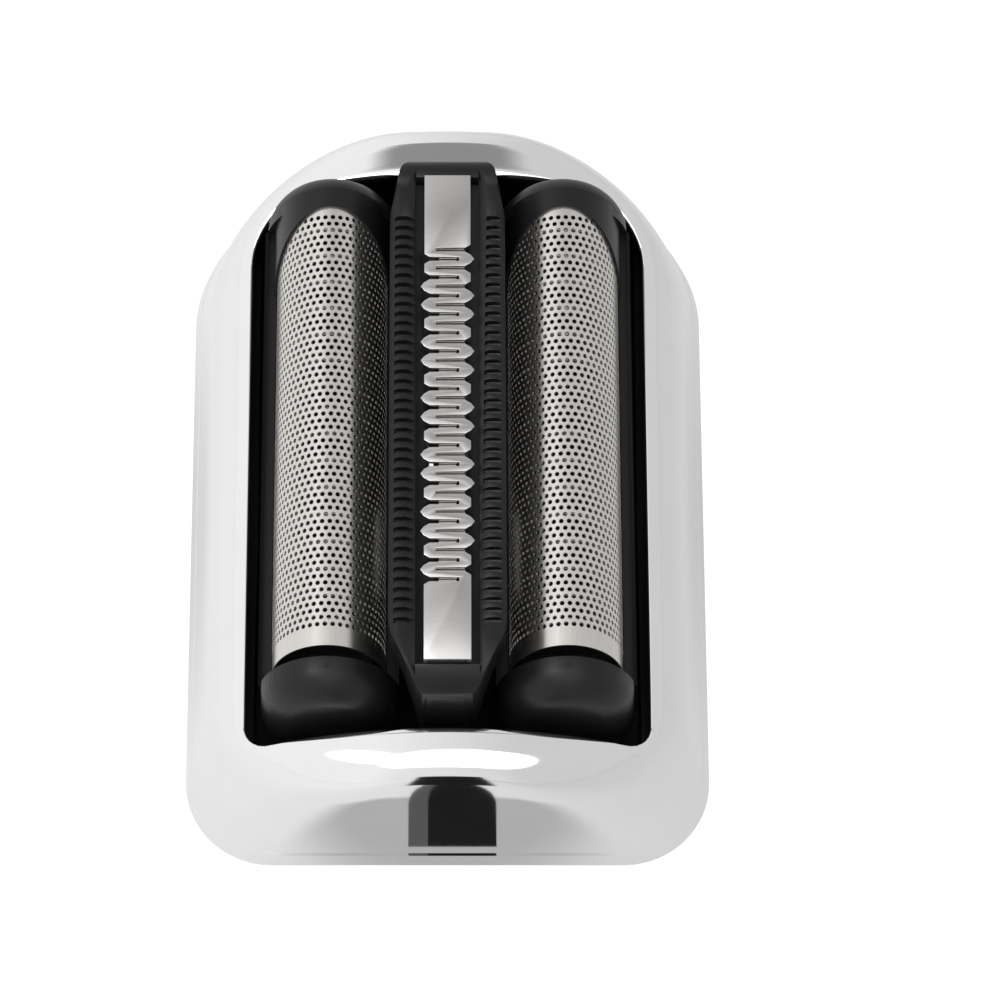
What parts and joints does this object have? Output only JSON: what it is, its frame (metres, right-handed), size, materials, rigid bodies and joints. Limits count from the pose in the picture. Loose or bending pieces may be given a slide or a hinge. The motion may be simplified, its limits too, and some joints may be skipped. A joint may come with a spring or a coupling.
{
  "type": "shaver foil head",
  "caption": "Replacement shaving head: a chrome bezel around floating perforated foils with stroking inner cutters and a slotted trimmer between them.",
  "frame": {"origin": "middle of the base rim, on the plane the head stands on", "axes": "+Z out of the shaving face, Y along the foils, X across them"},
  "size_m": [0.0322, 0.0448, 0.0178],
  "materials": {
    "chrome_shell": "polished",
    "black_plastic": "satin",
    "foil_steel": "satin",
    "blade_steel": "ground",
    "spring_steel": "drawn"
  },
  "bodies": {
    "housing": {"bezel": "chrome_shell", "chassis": "black_plastic", "foil_springs_left": "spring_steel", "foil_springs_right": "spring_steel", "trimmer_springs": "spring_steel"},
    "left_cartridge": {"foil_frame_left": "black_plastic", "foil_left": "foil_steel"},
    "right_cartridge": {"foil_frame_right": "black_plastic", "foil_right": "foil_steel"},
    "left_cutter": {"cutter_blades_left": "blade_steel", "cutter_carrier_left": "black_plastic", "cutter_springs_left": "spring_steel"},
    "right_cutter": {"cutter_blades_right": "blade_steel", "cutter_carrier_right": "black_plastic", "cutter_springs_right": "spring_steel"},
    "trimmer": {"trimmer_frame": "black_plastic", "trimmer_comb": "blade_steel"},
    "trimmer_cutter": {"trimmer_blade": "blade_steel", "trimmer_driver": "black_plastic"}
  },
  "joints": [
    {"name": "left_foil_float", "type": "slide", "parent": "housing", "child": "left_cartridge", "axis": [0, 0, 1], "range_m": [-0.0019, 0], "stiffness_N_per_m": 200, "springref_m": 0.002, "deforming": ["foil_springs_left"]},
    {"name": "right_foil_float", "type": "slide", "parent": "housing", "child": "right_cartridge", "axis": [0, 0, 1], "range_m": [-0.0019, 0], "stiffness_N_per_m": 200, "springref_m": 0.002, "deforming": ["foil_springs_right"]},
    {"name": "trimmer_float", "type": "slide", "parent": "housing", "child": "trimmer", "axis": [0, 0, 1], "range_m": [-0.0014, 0], "stiffness_N_per_m": 200, "springref_m": 0.002, "deforming": ["trimmer_springs"]},
    {"name": "left_cutter_stroke", "type": "slide", "parent": "left_cartridge", "child": "left_cutter", "axis": [0, 1, 0], "range_m": [-0.001, 0.001]},
    {"name": "right_cutter_stroke", "type": "slide", "parent": "right_cartridge", "child": "right_cutter", "axis": [0, 1, 0], "range_m": [-0.001, 0.001]},
    {"name": "trimmer_stroke", "type": "slide", "parent": "trimmer", "child": "trimmer_cutter", "axis": [0, 1, 0], "range_m": [-0.0009, 0.0009]}
  ]
}
